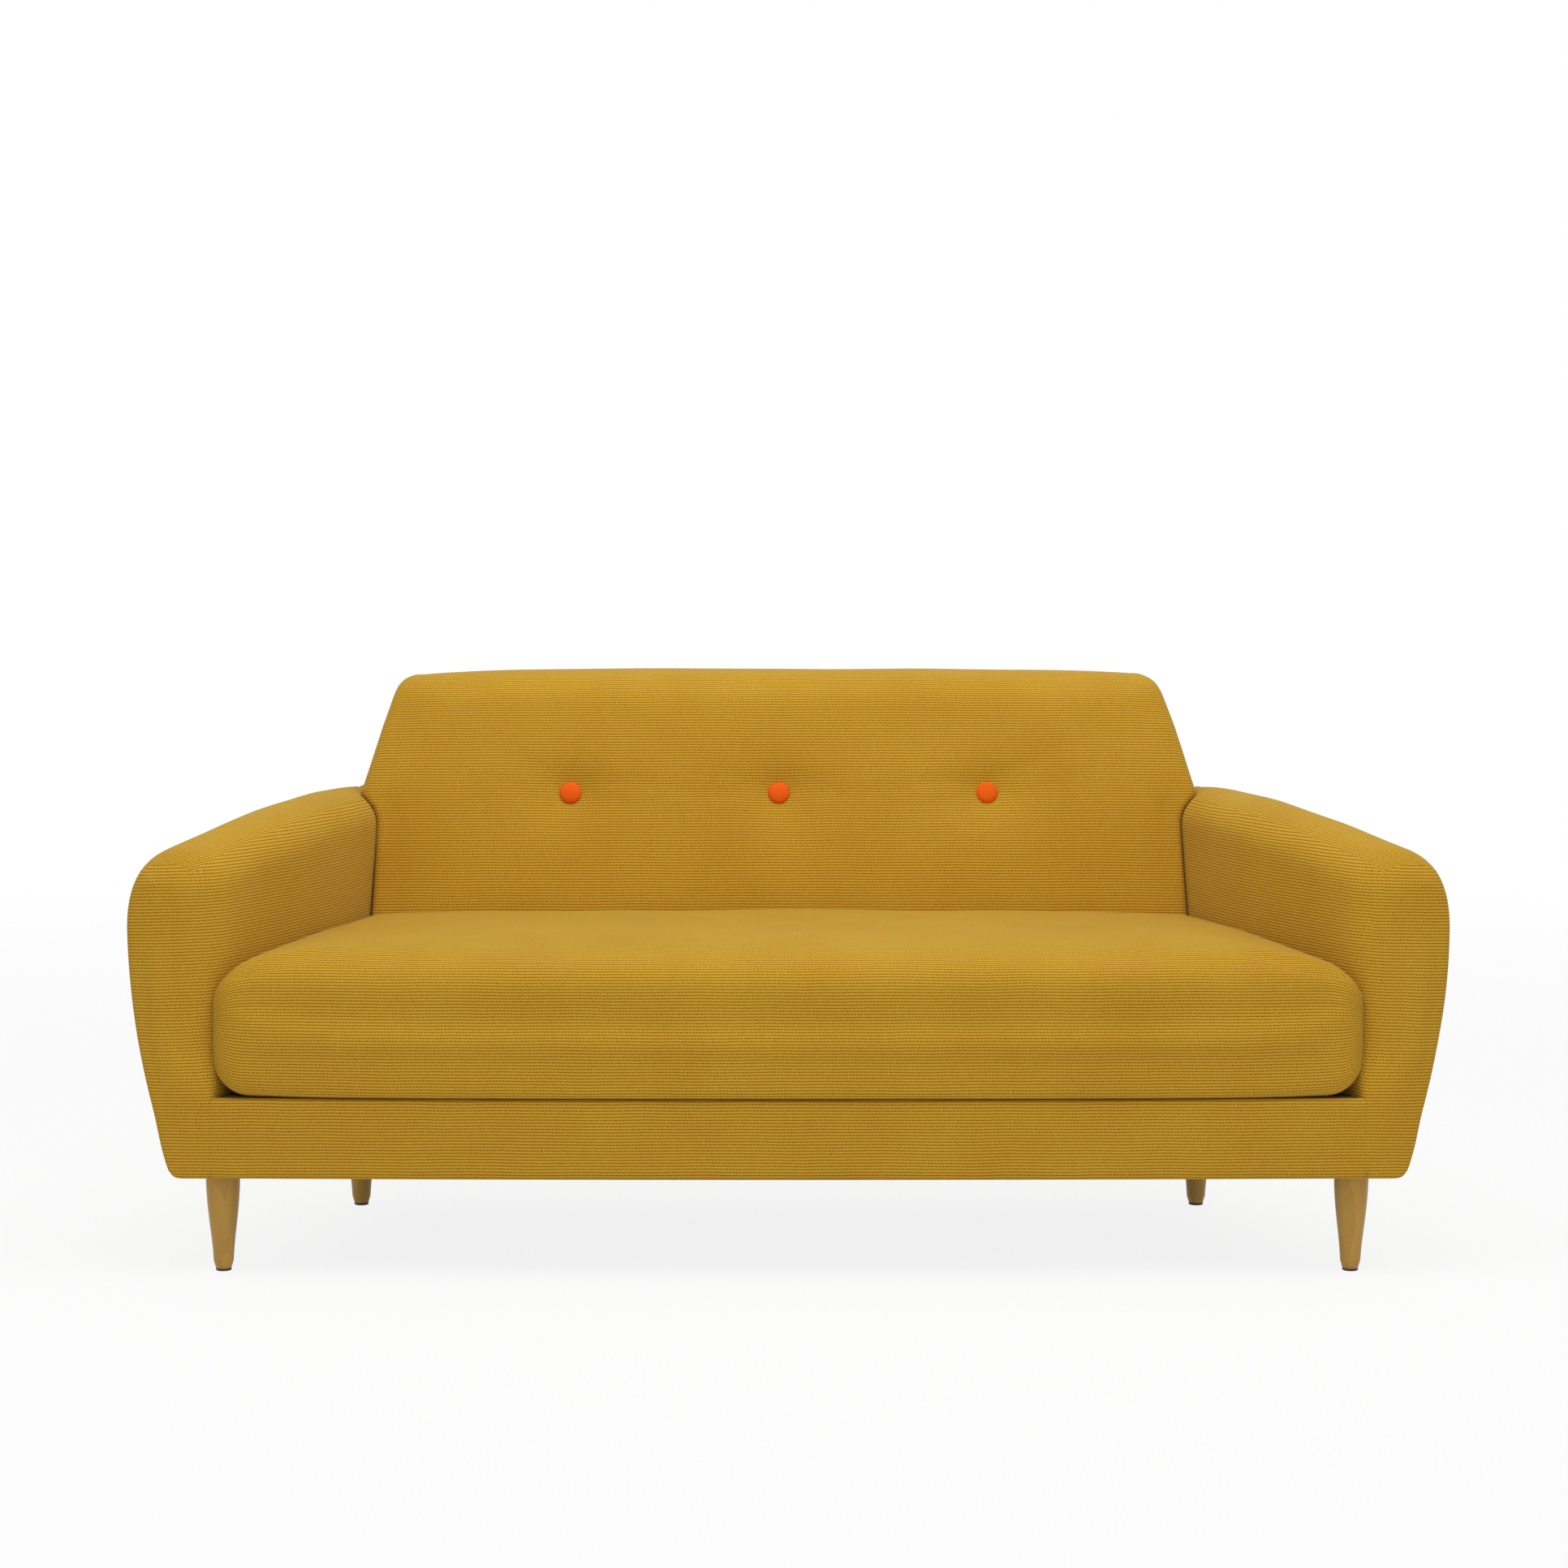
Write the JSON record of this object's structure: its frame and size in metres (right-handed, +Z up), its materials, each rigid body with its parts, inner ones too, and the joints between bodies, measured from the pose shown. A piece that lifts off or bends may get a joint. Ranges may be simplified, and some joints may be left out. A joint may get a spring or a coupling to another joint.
{
  "type": "sofa",
  "caption": "Upholstered bench-cushion sofa with flared rounded arms, a tapered button back and turned tapered wooden legs.",
  "frame": {"origin": "floor level, centred under the sofa between its sides and between its front and back", "axes": "+X to the left of a sitter and to the right of a viewer in front, +Y towards the back, +Z up"},
  "size_m": [1.8266, 0.7429, 0.827],
  "materials": {
    "upholstery": "ribbed mustard weave, matt",
    "button_cloth": "plain orange cloth, matt",
    "leg_wood": "pale beech, satin lacquer",
    "frame_timber": "sawn softwood, bare",
    "hardboard": "pressed board, bare",
    "steel": "zinc plated",
    "glide": "dark moulded plastic",
    "webbing": "elastic woven strap",
    "twine": "waxed twine",
    "zip_tape": "woven tape with moulded teeth",
    "dust_cloth": "non-woven lining cloth",
    "deck_cloth": "plain lining cloth over felt"
  },
  "bodies": {
    "sofa": {"arm_front_post_left": "frame_timber", "arm_front_post_right": "frame_timber", "arm_pad_left": "upholstery", "arm_pad_right": "upholstery", "arm_panel_left": "hardboard", "arm_panel_right": "hardboard", "arm_rear_post_left": "frame_timber", "arm_rear_post_right": "frame_timber", "arm_top_rail_left": "frame_timber", "arm_top_rail_right": "frame_timber", "back_pad": "upholstery", "back_post_left": "frame_timber", "back_post_right": "frame_timber", "back_tack_rails": "frame_timber", "back_top_rail": "frame_timber", "back_upright_left": "frame_timber", "back_upright_right": "frame_timber", "back_webbing": "webbing", "button_left": "button_cloth", "button_middle": "button_cloth", "button_right": "button_cloth", "button_toggles": "frame_timber", "button_twine": "twine", "corner_blocks": "frame_timber", "cross_rail_left": "frame_timber", "cross_rail_right": "frame_timber", "deck_rear_rail": "frame_timber", "dust_cover": "dust_cloth", "foot_glides": "glide", "front_border": "upholstery", "front_rail": "frame_timber", "hanger_bolts": "steel", "leg_front_left": "leg_wood", "leg_front_right": "leg_wood", "leg_rear_left": "leg_wood", "leg_rear_right": "leg_wood", "outside_back": "upholstery", "rear_rail": "frame_timber", "seat_deck": "deck_cloth", "seat_webbing_cross": "webbing", "seat_webbing_long": "webbing", "side_rail_left": "frame_timber", "side_rail_right": "frame_timber", "tee_nuts": "steel"},
    "cushion": {"seat_cushion": "upholstery", "cushion_zip": "zip_tape"},
    "slider": {"zip_slider": "steel"}
  },
  "joints": [
    {"name": "cushion_lift", "type": "slide", "parent": "sofa", "child": "cushion", "axis": [0, 0, 1], "range_m": [0, 0.6]},
    {"name": "zip_run", "type": "slide", "parent": "cushion", "child": "slider", "axis": [-1, 0, 0], "range_m": [0, 1.07]}
  ]
}
